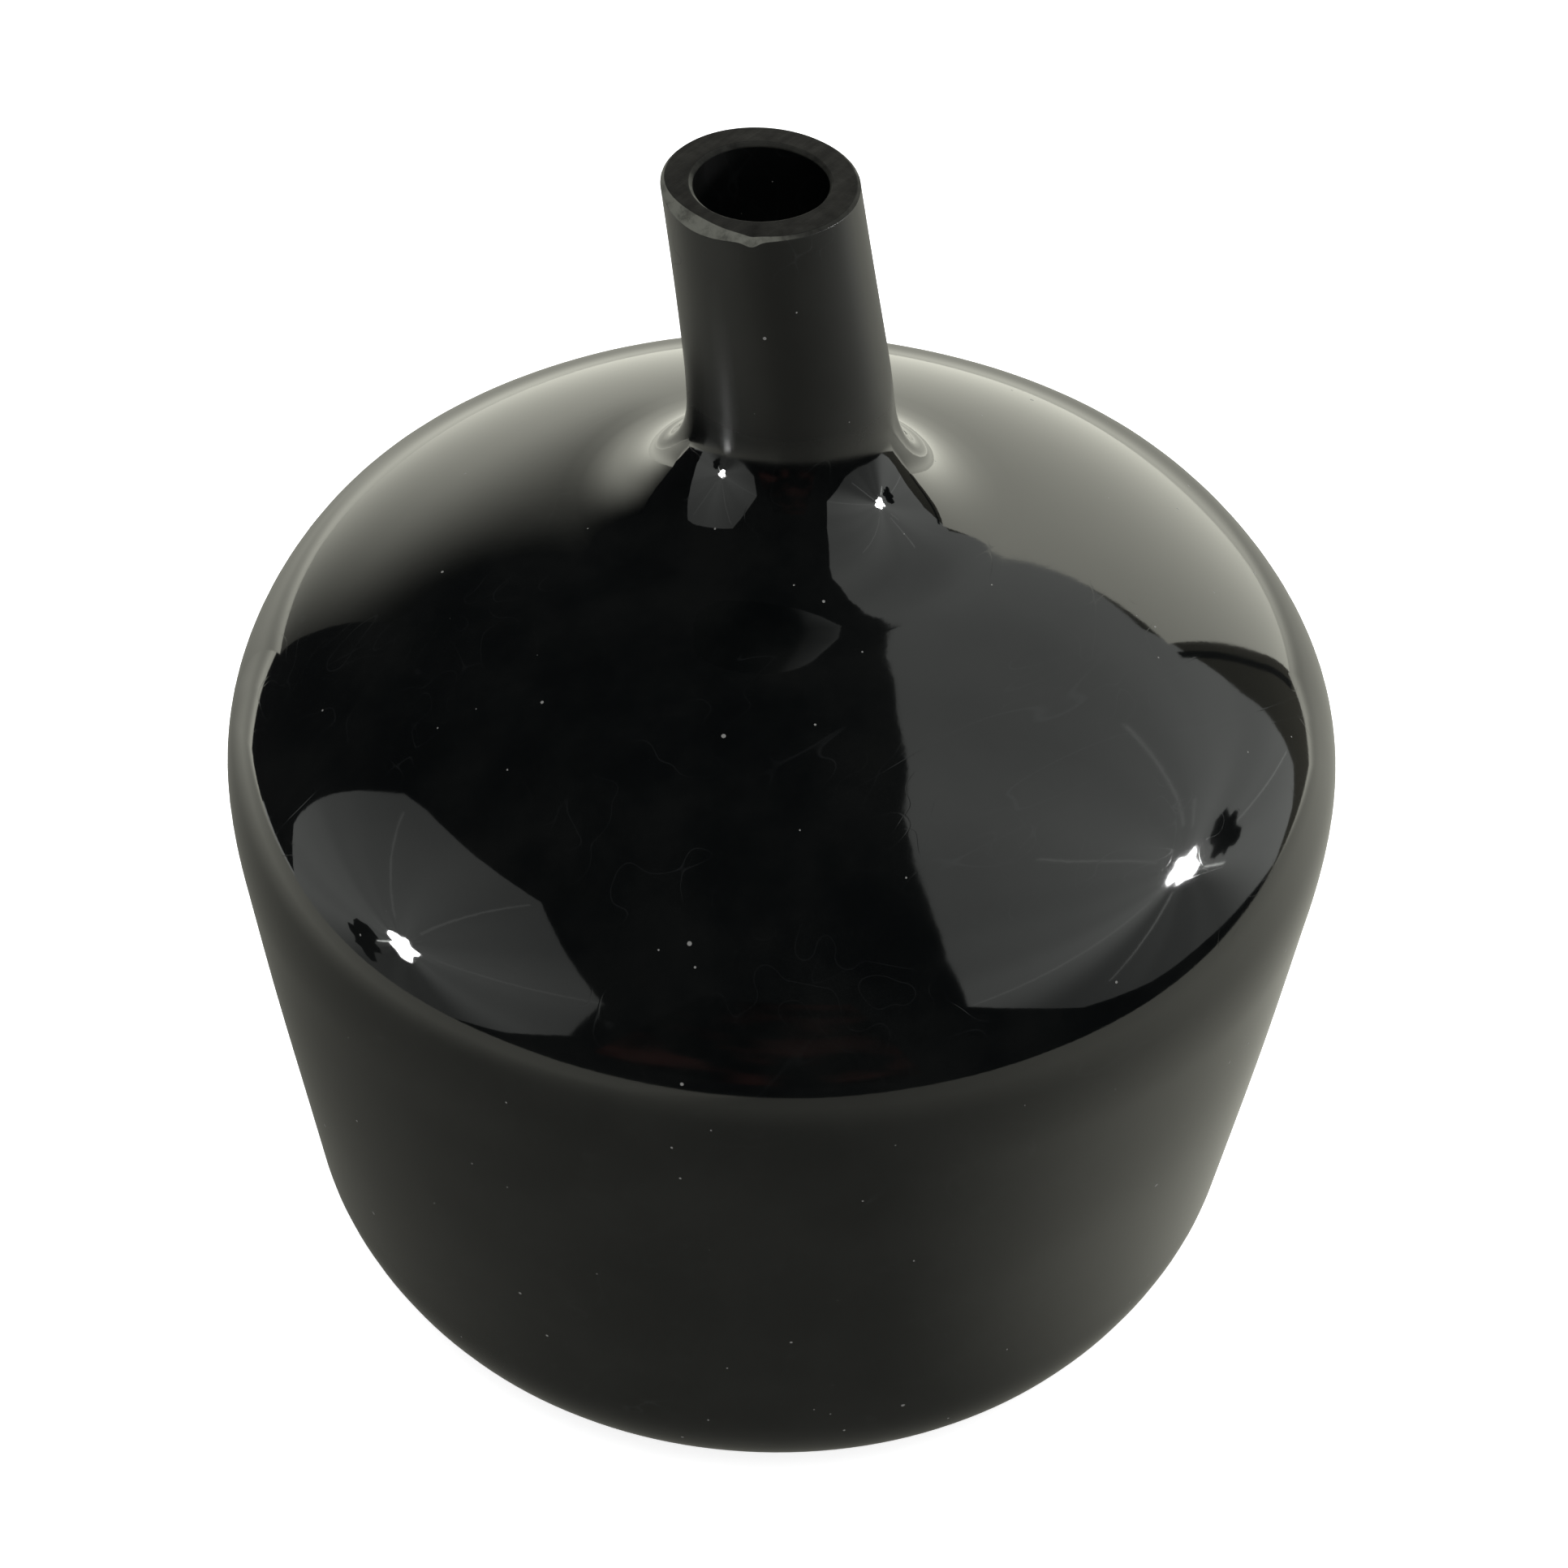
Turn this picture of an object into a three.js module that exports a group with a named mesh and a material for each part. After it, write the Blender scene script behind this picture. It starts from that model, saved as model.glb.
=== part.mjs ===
// Dust blower bulb: a soft vinyl squeeze bulb with a short nozzle, moulded in one piece.
// It is divided here into the zones of that moulding which keep their shape and the zones which give:
// the side wall folds when the base is pushed in, and the root and neck bend under the nozzle.
// Millimetres, +Z up, origin at the middle of the flat base.
import * as THREE from "three";

const radians = THREE.MathUtils.degToRad;

// Body
const WIDEST_DIAMETER = 50;
const WIDEST_HEIGHT = 28; // of the widest circle above the base
const WALL_TAPER = radians(6.8); // of the side wall from upright: it narrows towards the base
const HEEL_RADIUS = 7.8; // of the round corner between side wall and base
const LOWER_EDGE_RADIUS = 19.5; // of the wide edge, below the widest circle
const UPPER_EDGE_RADIUS = 10.8; // of the wide edge, above the widest circle
const SHOULDER_START = radians(52.3); // slope from upright where the wide edge becomes the shoulder
const SHOULDER_END = radians(84.8); // slope from upright at the shoulder's inner end
const SKIN = 1.8; // thickness of the moulding

// Nozzle
const ROOT_FILLET = 5.2; // hollow radius between shoulder and nozzle
const NOZZLE_ROOT_DIAMETER = 8.7;
const NOZZLE_TIP_DIAMETER = 7.9;
const BORE_DIAMETER = 5.4;
const NOZZLE_HEIGHT = 10.2; // of the tube, from the fillet to its cut end
const NECK_HEIGHT = 3.6; // the lower stretch of the tube, which bends
const LEAN_X = -0.15; // sideways run of the nozzle's axis per millimetre of height
const BEND_HEIGHT = 5; // over which the axis turns from upright to its lean
const CUT_SLOPE_X = 0.01; // fall of the cut end along X and Y, per millimetre
const CUT_SLOPE_Y = -0.08;

// Making
const ZONE_GAP = 0.3; // between neighbouring zones
const SIDES = 40; // around the axis
const ARC_STEP = radians(9); // most that the outline turns between two points

const vinyl = { color: 0x0b0c0c, roughness: 0.16, metalness: 0 };

// The outline runs from the base up to the nozzle's end. A stretch is an arc, or a line where its slope stays
// the same. Slope is the angle from upright, positive where the outline closes in on the axis.
function arcStretch(start, from, to, radius) {
  const bend = Math.sign(to - from) / radius;
  return { start, from, bend, length: Math.abs(to - from) * radius };
}

function lineStretch(start, slope, length) {
  return { start, from: slope, bend: 0, length };
}

// The point at a distance along a stretch, with its slope.
function pointAt(stretch, distance) {
  const { start, from, bend } = stretch;
  const slope = from + bend * distance;
  if (bend === 0) {
    return {
      r: start.r - Math.sin(from) * distance,
      z: start.z + Math.cos(from) * distance,
      slope,
    };
  }
  return {
    r: start.r + (Math.cos(slope) - Math.cos(from)) / bend,
    z: start.z + (Math.sin(slope) - Math.sin(from)) / bend,
    slope,
  };
}

function endOf(stretch) {
  return pointAt(stretch, stretch.length);
}

// Sizes that follow from the driving ones
const widestRadius = WIDEST_DIAMETER / 2;
const wallRise =
  WIDEST_HEIGHT - LOWER_EDGE_RADIUS * Math.sin(WALL_TAPER) - HEEL_RADIUS * (1 - Math.sin(WALL_TAPER));
const wallLength = wallRise / Math.cos(WALL_TAPER);
const flatRadius =
  widestRadius -
  LOWER_EDGE_RADIUS * (1 - Math.cos(WALL_TAPER)) -
  wallLength * Math.sin(WALL_TAPER) -
  HEEL_RADIUS * Math.cos(WALL_TAPER);
const nozzleTaper = Math.atan2((NOZZLE_ROOT_DIAMETER - NOZZLE_TIP_DIAMETER) / 2, NOZZLE_HEIGHT);
const boreRadius = BORE_DIAMETER / 2;

const heelArc = arcStretch({ r: flatRadius, z: 0 }, -Math.PI / 2, -WALL_TAPER, HEEL_RADIUS);
const wallLine = lineStretch(endOf(heelArc), -WALL_TAPER, wallLength);
const lowerEdgeArc = arcStretch(endOf(wallLine), -WALL_TAPER, 0, LOWER_EDGE_RADIUS);
const upperEdgeArc = arcStretch(endOf(lowerEdgeArc), 0, SHOULDER_START, UPPER_EDGE_RADIUS);

// The shoulder's arc ends where the root fillet has room to reach the nozzle's root diameter.
const rootRun = ROOT_FILLET * (Math.cos(nozzleTaper) - Math.cos(SHOULDER_END));
const shoulderEndRadius = NOZZLE_ROOT_DIAMETER / 2 + rootRun;
const shoulderRadius =
  (endOf(upperEdgeArc).r - shoulderEndRadius) / (Math.cos(SHOULDER_START) - Math.cos(SHOULDER_END));
const shoulderArc = arcStretch(endOf(upperEdgeArc), SHOULDER_START, SHOULDER_END, shoulderRadius);
const rootArc = arcStretch(endOf(shoulderArc), SHOULDER_END, nozzleTaper, ROOT_FILLET);
const rootTop = endOf(rootArc);
const neckLine = lineStretch(rootTop, nozzleTaper, NECK_HEIGHT / Math.cos(nozzleTaper));
const tipLine = lineStretch(
  endOf(neckLine),
  nozzleTaper,
  (NOZZLE_HEIGHT - NECK_HEIGHT) / Math.cos(nozzleTaper),
);

// Points along one or more joined stretches, with half a gap left off a trimmed end.
function outlinePoints(stretches, trimStart, trimEnd) {
  const points = [];
  stretches.forEach((stretch, i) => {
    const first = i === 0 && trimStart ? ZONE_GAP / 2 : 0;
    const last = stretch.length - (i === stretches.length - 1 && trimEnd ? ZONE_GAP / 2 : 0);
    const turn = Math.abs(stretch.bend) * (last - first);
    const steps = Math.max(1, Math.ceil(turn / ARC_STEP));
    for (let k = i === 0 ? 0 : 1; k <= steps; k++) {
      points.push(pointAt(stretch, first + ((last - first) * k) / steps));
    }
  });
  return points;
}

// The inner face of the body's skin, square to the outline.
function insideSkin(point, thickness = SKIN) {
  return {
    r: point.r - thickness * Math.cos(point.slope),
    z: point.z - thickness * Math.sin(point.slope),
  };
}

// Through the root the skin changes evenly from the body's thickness to the tube's.
function insideRoot(point) {
  const share = (SHOULDER_END - point.slope) / (SHOULDER_END - nozzleTaper);
  const tubeWall = NOZZLE_ROOT_DIAMETER / 2 - boreRadius;
  return insideSkin(point, THREE.MathUtils.lerp(SKIN, tubeWall, share));
}

function insideTube(point) {
  return { r: boreRadius, z: point.z };
}

// A closed outline, anticlockwise with the axis on its left, turned about Z.
function turned(outline) {
  const profile = outline.map((p) => new THREE.Vector2(Math.max(p.r, 0), p.z));
  return new THREE.LatheGeometry(profile, SIDES).rotateX(Math.PI / 2);
}

function ring(stretches, inside, trimEnd = true) {
  const outer = outlinePoints(stretches, true, trimEnd);
  const inner = outer.map((point) => inside(point)).reverse();
  return turned([...outer, ...inner, outer[0]]);
}

// Moves a tube's points from an upright axis to the leaning one, and slopes its cut end.
function leaned(geometry) {
  const positions = geometry.attributes.position;
  const bendStart = rootTop.z - BEND_HEIGHT / 2;
  for (let i = 0; i < positions.count; i++) {
    const [x, y, z] = [positions.getX(i), positions.getY(i), positions.getZ(i)];
    const above = THREE.MathUtils.clamp(z - bendStart, 0, BEND_HEIGHT);
    const run = (above * above) / (2 * BEND_HEIGHT) + Math.max(z - bendStart - BEND_HEIGHT, 0);
    const cutShare = THREE.MathUtils.clamp((z - rootTop.z) / NOZZLE_HEIGHT, 0, 1);
    const fall = (CUT_SLOPE_X * x + CUT_SLOPE_Y * y) * cutShare;
    positions.setXYZ(i, x + LEAN_X * run, y, z - fall);
  }
  geometry.computeVertexNormals();
  return geometry;
}

function basePanel() {
  const rim = flatRadius - ZONE_GAP / 2;
  return turned([
    { r: 0, z: 0 },
    { r: rim, z: 0 },
    { r: rim, z: SKIN },
    { r: 0, z: SKIN },
  ]);
}

const zones = {
  base_panel: basePanel(),
  heel: ring([heelArc], insideSkin),
  side_wall: ring([wallLine], insideSkin),
  wide_edge: ring([lowerEdgeArc, upperEdgeArc], insideSkin),
  shoulder: ring([shoulderArc], insideSkin),
  nozzle_root: leaned(ring([rootArc], insideRoot)),
  nozzle_neck: leaned(ring([neckLine], insideTube)),
  nozzle_tip: leaned(ring([tipLine], insideTube, false)),
};

const bulb = new THREE.Group();
for (const [name, geometry] of Object.entries(zones)) {
  const mesh = new THREE.Mesh(geometry, new THREE.MeshStandardMaterial(vinyl));
  mesh.name = name;
  bulb.add(mesh);
}

export default bulb;
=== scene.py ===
"""Looks of the dust blower bulb: one glossy black vinyl skin, in a piece for each zone of the model.

The gloss mirrors a small studio of glowing cards: a pale table, a white backdrop and two umbrella
lights."""

import math

import bpy
import numpy as np
from mathutils import Matrix, Vector

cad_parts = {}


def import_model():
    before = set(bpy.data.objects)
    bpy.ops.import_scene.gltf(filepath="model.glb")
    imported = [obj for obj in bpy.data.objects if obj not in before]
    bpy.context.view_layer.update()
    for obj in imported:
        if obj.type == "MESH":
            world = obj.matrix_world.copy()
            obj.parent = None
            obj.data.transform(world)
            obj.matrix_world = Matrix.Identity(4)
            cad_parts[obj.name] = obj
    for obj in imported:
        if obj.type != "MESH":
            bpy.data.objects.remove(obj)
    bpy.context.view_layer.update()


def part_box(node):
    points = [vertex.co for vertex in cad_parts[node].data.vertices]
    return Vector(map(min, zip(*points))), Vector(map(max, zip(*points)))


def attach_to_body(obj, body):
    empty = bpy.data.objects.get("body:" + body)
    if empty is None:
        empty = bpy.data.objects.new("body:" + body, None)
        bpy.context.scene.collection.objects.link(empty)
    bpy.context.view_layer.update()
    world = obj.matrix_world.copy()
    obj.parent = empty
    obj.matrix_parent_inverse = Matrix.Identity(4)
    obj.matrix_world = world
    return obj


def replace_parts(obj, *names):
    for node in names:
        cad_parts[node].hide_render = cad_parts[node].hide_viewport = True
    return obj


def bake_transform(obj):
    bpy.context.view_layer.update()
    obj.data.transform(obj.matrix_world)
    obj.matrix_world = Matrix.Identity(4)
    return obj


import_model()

# The moulding's own sizes, as in the CAD source, in metres and radians
WIDEST_HEIGHT = 0.028
WALL_TAPER = math.radians(6.8)
HEEL_RADIUS = 0.0078
LOWER_EDGE_RADIUS = 0.0195
UPPER_EDGE_RADIUS = 0.0108
SHOULDER_START = math.radians(52.3)
SHOULDER_END = math.radians(84.8)
SKIN = 0.0018
ROOT_FILLET = 0.0052
NOZZLE_ROOT_RADIUS = 0.00435
NOZZLE_TIP_RADIUS = 0.00395
BORE_RADIUS = 0.0027
NOZZLE_HEIGHT = 0.0102
NECK_HEIGHT = 0.0036
LEAN_X = -0.15
BEND_HEIGHT = 0.005
CUT_SLOPE = (0.01, -0.08)

# How finely the skin is made
SIDES = 192
ROW_SPACING = 0.0007
TINY = 1e-9  # keeps a division away from zero
POINT_SIZE = 1e-7  # a row narrower than this is a single point

# Small faults of a hand-trimmed soft moulding
WAVE_HEIGHT = 0.00003
WAVE_COUNT = 7
WAVE_SEED = 12
WAVE_LENGTHS = (0.014, 0.034)
RIM_BEVEL = 0.00012  # width of the knife's bevel all round the cut end
BEVEL_DROP = 0.8  # of the bevel, as a share of its width
RIM_FACET = 0.00038  # extra width where the knife scraped a facet
FACET_ANGLE = math.radians(228)
FACET_SPREAD = math.radians(34)
NICK_DEPTH = 0.00022
NICK_ANGLE = math.radians(266)
NICK_SPREAD = math.radians(5)
NICK_INWARD = 0.4  # how much of the nick is left at the bevel's inner edge
EDGE_ROUNDING = 0.00004
ROUNDING_LIMIT = 0.45  # of a side that is rounded at both ends
BORE_OVAL = 0.012  # unevenness of the bore's mouth, as shares of its radius
BORE_TRIANGLE = 0.008

WIDEST_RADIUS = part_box("wide_edge")[1].x


# ---- Outline ----------------------------------------------------------------


def stretch(start, slope_from, slope_to, length):
    """Rows of radius, height and slope along an arc, or along a line where the slope stays the same."""
    steps = max(3, math.ceil(length / ROW_SPACING))
    along = np.linspace(0, length, steps + 1)
    bend = (slope_to - slope_from) / length
    slope = slope_from + bend * along
    if bend == 0:
        radius = start[0] - math.sin(slope_from) * along
        height = start[1] + math.cos(slope_from) * along
    else:
        radius = start[0] + (np.cos(slope) - math.cos(slope_from)) / bend
        height = start[1] + (np.sin(slope) - math.sin(slope_from)) / bend
    return np.column_stack([radius, height, slope])


def arc(start, slope_from, slope_to, radius):
    return stretch(start, slope_from, slope_to, abs(slope_to - slope_from) * radius)


def outline_zones():
    """The outline from the middle of the base to the nozzle's cut end, as rows for each zone."""
    heel_rise = HEEL_RADIUS * (1 - math.sin(WALL_TAPER))
    wall_rise = WIDEST_HEIGHT - LOWER_EDGE_RADIUS * math.sin(WALL_TAPER) - heel_rise
    wall_length = wall_rise / math.cos(WALL_TAPER)
    flat_radius = (
        WIDEST_RADIUS
        - LOWER_EDGE_RADIUS * (1 - math.cos(WALL_TAPER))
        - wall_length * math.sin(WALL_TAPER)
        - HEEL_RADIUS * math.cos(WALL_TAPER)
    )
    nozzle_taper = math.atan2(NOZZLE_ROOT_RADIUS - NOZZLE_TIP_RADIUS, NOZZLE_HEIGHT)
    tube_slope = math.cos(nozzle_taper)
    root_run = ROOT_FILLET * (math.cos(nozzle_taper) - math.cos(SHOULDER_END))
    zones = {}
    zones["base_panel"] = stretch((0, 0), -math.pi / 2, -math.pi / 2, flat_radius)
    zones["heel"] = arc((flat_radius, 0), -math.pi / 2, -WALL_TAPER, HEEL_RADIUS)
    zones["side_wall"] = stretch(zones["heel"][-1], -WALL_TAPER, -WALL_TAPER, wall_length)
    lower_edge = arc(zones["side_wall"][-1], -WALL_TAPER, 0, LOWER_EDGE_RADIUS)
    upper_edge = arc(lower_edge[-1], 0, SHOULDER_START, UPPER_EDGE_RADIUS)
    zones["wide_edge"] = np.vstack([lower_edge, upper_edge[1:]])
    shoulder_run = upper_edge[-1][0] - NOZZLE_ROOT_RADIUS - root_run
    shoulder_radius = shoulder_run / (math.cos(SHOULDER_START) - math.cos(SHOULDER_END))
    zones["shoulder"] = arc(upper_edge[-1], SHOULDER_START, SHOULDER_END, shoulder_radius)
    zones["nozzle_root"] = arc(zones["shoulder"][-1], SHOULDER_END, nozzle_taper, ROOT_FILLET)
    tube_start = zones["nozzle_root"][-1]
    zones["nozzle_neck"] = stretch(tube_start, nozzle_taper, nozzle_taper, NECK_HEIGHT / tube_slope)
    tip_length = (NOZZLE_HEIGHT - NECK_HEIGHT) / tube_slope
    zones["nozzle_tip"] = stretch(zones["nozzle_neck"][-1], nozzle_taper, nozzle_taper, tip_length)
    return zones


def inside_rows(name, rows):
    """The inner face opposite each row: the skin's thickness square to the outline, or the plain bore."""
    if name in ("nozzle_neck", "nozzle_tip"):
        return np.column_stack([np.full(len(rows), BORE_RADIUS), rows[:, 1]])
    thickness = np.full(len(rows), SKIN)
    if name == "nozzle_root":
        share = (SHOULDER_END - rows[:, 2]) / (SHOULDER_END - rows[-1, 2])
        thickness += (NOZZLE_ROOT_RADIUS - BORE_RADIUS - SKIN) * share
    radius = rows[:, 0] - thickness * np.cos(rows[:, 2])
    height = rows[:, 1] - thickness * np.sin(rows[:, 2])
    return np.column_stack([np.maximum(radius, 0), height])


# ---- The skin as one grid ---------------------------------------------------

zones = outline_zones()
ROOT_TOP = zones["nozzle_root"][-1][1]
RIM_HEIGHT = zones["nozzle_tip"][-1][1]
angles = np.arange(SIDES) * 2 * math.pi / SIDES


def around(angle, spread):
    """A smooth bump round the axis: 1 at the angle, falling to 0 over the spread."""
    off = (angles - angle + math.pi) % (2 * math.pi) - math.pi
    return np.exp(-((off / spread) ** 2))


def rim_rows():
    """The cut end, from the tube's outside over the bevel, the flat and the inner edge into the bore.
    The knife left a wider facet on one side, and a nick."""
    bevel = RIM_BEVEL + RIM_FACET * around(FACET_ANGLE, FACET_SPREAD)
    nick = NICK_DEPTH * around(NICK_ANGLE, NICK_SPREAD)
    drop = bevel * BEVEL_DROP + nick
    outside = np.full(SIDES, NOZZLE_TIP_RADIUS)
    oval = BORE_OVAL * np.sin(2 * angles + 0.7)
    triangle = BORE_TRIANGLE * np.sin(3 * angles + 2.1)
    uneven = BORE_RADIUS * (1 + oval + triangle)
    top = np.full(SIDES, RIM_HEIGHT)
    corners = [
        (outside, top - drop),
        (outside - bevel, top - nick * NICK_INWARD),
        (uneven + RIM_BEVEL, top),
        (uneven, top - RIM_BEVEL),
    ]
    rows = []
    for i, (radius, height) in enumerate(corners):
        before = corners[i - 1] if i else (outside, top - drop - EDGE_ROUNDING)
        after = corners[i + 1] if i + 1 < len(corners) else (uneven, top - 2 * RIM_BEVEL)
        for other in (before, None, after):
            if other is None:
                rows.append((radius, height))
                continue
            run = np.hypot(other[0] - radius, other[1] - height)
            share = np.minimum(EDGE_ROUNDING / np.maximum(run, TINY), ROUNDING_LIMIT)
            rows.append((radius + (other[0] - radius) * share, height + (other[1] - height) * share))
    return rows, drop, uneven


def skin_grid():
    """Radius and height of each row at each angle: up the outside, over the cut end and down the inside.
    Also the first and last outside and inside row of each zone, and the rows of the cut face."""
    rim, drop, uneven = rim_rows()
    radii, heights, outer_span, inner_span = [], [], {}, {}
    for name, rows in zones.items():
        first = len(radii) - 1 if radii else 0
        for row in rows if not radii else rows[1:]:
            radii.append(np.full(SIDES, row[0]))
            heights.append(np.full(SIDES, row[1]))
        outer_span[name] = (first, len(radii) - 1)
    tip_first, tip_last = outer_span["nozzle_tip"]
    tip_foot = heights[tip_first][0]
    for k in range(tip_first, tip_last + 1):
        share = (heights[k] - tip_foot) / (RIM_HEIGHT - tip_foot)
        heights[k] = heights[k] - (drop + 2 * EDGE_ROUNDING) * share
    cut_first = len(radii)
    for radius, height in rim:
        radii.append(radius)
        heights.append(height)
    cut_last = len(radii) - 1
    for name in reversed(zones):
        rows = inside_rows(name, zones[name])[::-1]
        first = len(radii) - 1
        for row in rows[1:]:
            radius = np.full(SIDES, row[0])
            if name == "nozzle_tip":
                share = (row[1] - tip_foot) / (RIM_HEIGHT - tip_foot)
                radius = radius + (uneven - BORE_RADIUS) * share
            radii.append(radius)
            heights.append(np.full(SIDES, row[1]))
        inner_span[name] = (first, len(radii) - 1)
    return np.array(radii), np.array(heights), outer_span, inner_span, (cut_first, cut_last)


def smooth_step(value, low, high):
    share = np.clip((value - low) / (high - low), 0, 1)
    return share * share * (3 - 2 * share)


def lean(points):
    """Moves points from an upright nozzle to the leaning one, and slopes its cut end."""
    x, y, z = points[..., 0], points[..., 1], points[..., 2]
    bend_start = ROOT_TOP - BEND_HEIGHT / 2
    above = np.clip(z - bend_start, 0, BEND_HEIGHT)
    run = above**2 / (2 * BEND_HEIGHT) + np.maximum(z - bend_start - BEND_HEIGHT, 0)
    cut_share = np.clip((z - ROOT_TOP) / NOZZLE_HEIGHT, 0, 1)
    fall = (CUT_SLOPE[0] * x + CUT_SLOPE[1] * y) * cut_share
    return np.stack([x + LEAN_X * run, y, z - fall], axis=-1)


def waviness(points):
    """How far the soft skin stands proud at each point: a few long, low waves that fade out at the
    base."""
    random = np.random.default_rng(WAVE_SEED)
    total = np.zeros(points.shape[:-1])
    for _ in range(WAVE_COUNT):
        direction = random.normal(size=3)
        direction /= np.linalg.norm(direction)
        length = random.uniform(*WAVE_LENGTHS)
        total += np.sin(points @ direction * 2 * math.pi / length + random.uniform(0, 2 * math.pi))
    return WAVE_HEIGHT * total * smooth_step(points[..., 2], 0, HEEL_RADIUS)


def grid_normals(points):
    """Unit normals of the grid, from the rows above and below and the points on either side."""
    turn = np.roll(points, -1, axis=1) - np.roll(points, 1, axis=1)
    rise = np.empty_like(points)
    rise[1:-1] = points[2:] - points[:-2]
    rise[0] = points[1] - points[0]
    rise[-1] = points[-1] - points[-2]
    normals = np.cross(turn, rise)
    lengths = np.linalg.norm(normals, axis=-1, keepdims=True)
    normals = normals / np.maximum(lengths, TINY**2)
    normals[0] = (0, 0, -1)
    normals[-1] = (0, 0, 1)
    return normals


def skin_points():
    radii, heights, outer_span, inner_span, cut = skin_grid()
    upright = np.stack([radii * np.cos(angles), radii * np.sin(angles), heights], axis=-1)
    points = lean(upright)
    points = points + grid_normals(points) * waviness(points)[..., None]
    return points, grid_normals(points), outer_span, inner_span, cut


# ---- Pieces -----------------------------------------------------------------


def make_piece(name, grid_rows, points, normals, cut, materials, open_ends):
    """A closed mesh from rows of the grid, in order round its section. open_ends is true for the piece
    whose first and last rows are single points on the axis."""
    vertices, vertex_normals, index = [], [], []
    for row in grid_rows:
        on_axis = np.ptp(points[row], axis=0).max() < POINT_SIZE
        count = 1 if on_axis else SIDES
        index.append([len(vertices) + (0 if on_axis else j) for j in range(SIDES)])
        vertices.extend(points[row][:count].tolist())
        vertex_normals.extend(normals[row][:count].tolist())
    faces, cut_faces = [], []
    steps = len(grid_rows) - (1 if open_ends else 0)
    for k in range(steps):
        here, above = index[k], index[(k + 1) % len(grid_rows)]
        is_cut = cut[0] < grid_rows[k] < cut[1]
        for j in range(SIDES):
            after = (j + 1) % SIDES
            corners = [here[j], here[after], above[after], above[j]]
            faces.append(list(dict.fromkeys(corners)))
            cut_faces.append(is_cut)
    mesh = bpy.data.meshes.new(name)
    mesh.from_pydata(vertices, [], faces)
    for material in materials:
        mesh.materials.append(material)
    mesh.polygons.foreach_set("material_index", np.array(cut_faces, dtype=np.int32))
    mesh.polygons.foreach_set("use_smooth", np.ones(len(faces), dtype=bool))
    mesh.normals_split_custom_set_from_vertices(vertex_normals)
    mesh.update()
    piece = bpy.data.objects.new(name, mesh)
    bpy.context.scene.collection.objects.link(piece)
    return piece


def make_skin(materials):
    """The pieces of the skin by zone: each takes its outside and inside rows from the one grid, so
    that neighbours meet without a seam."""
    points, normals, outer_span, inner_span, cut = skin_points()
    pieces = {}
    for name in zones:
        outer = list(range(outer_span[name][0], outer_span[name][1] + 1))
        inner = list(range(inner_span[name][0], inner_span[name][1] + 1))
        rim = list(range(cut[0], cut[1])) if name == "nozzle_tip" else []
        piece = make_piece(
            name + "_skin",
            outer + rim + inner,
            points,
            normals,
            cut,
            materials,
            open_ends=name == "base_panel",
        )
        pieces[name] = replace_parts(piece, name)
    return pieces


# ---- Materials --------------------------------------------------------------


VINYL_IOR = 1.5
CLEAN_COLOR = (0.0011, 0.0014, 0.0015, 1)
CLOUDY_COLOR = (0.0030, 0.0033, 0.0032, 1)
SCRATCH_COLOR = (0.03, 0.032, 0.033, 1)
DUST_COLOR = (0.12, 0.12, 0.115, 1)
CUT_COLOR = (0.003, 0.003, 0.0028, 1)
CUT_BLOTCH_COLOR = (0.007, 0.007, 0.0063, 1)
# paler colour on the knife's scraped facet: a painted highlight
FACET_HIGHLIGHT_COLOR = (0.085, 0.087, 0.075, 1)
CUT_SPECULAR = 0.06
GLOSS_ROUGHNESS = (0.03, 0.075)  # where clean, and where smudged
CUT_ROUGHNESS = (0.42, 0.62)  # along and between the blade's streaks
SCRATCH_ROUGHNESS = 0.08
SCRATCH_TINT = 0.12
DUST_ROUGHNESS = 0.5
SMALLEST_SPECK = 0.4  # as a share of how much the specks vary
SATIN = 0.26  # extra roughness of the nozzle
SATIN_FROM, SATIN_TO = 0.0447, 0.0475  # heights over which the gloss dulls to satin
SCRATCH_TURNS = [(0.3, 0.2, 0.9), (1.2, 0.5, 2.3), (0.7, 1.4, 0.1), (2.1, 0.8, 1.6)]  # radians
GRAIN_RELIEF, RIPPLE_RELIEF, SCRATCH_RELIEF = 0.02, 0.2, 0.02


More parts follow.
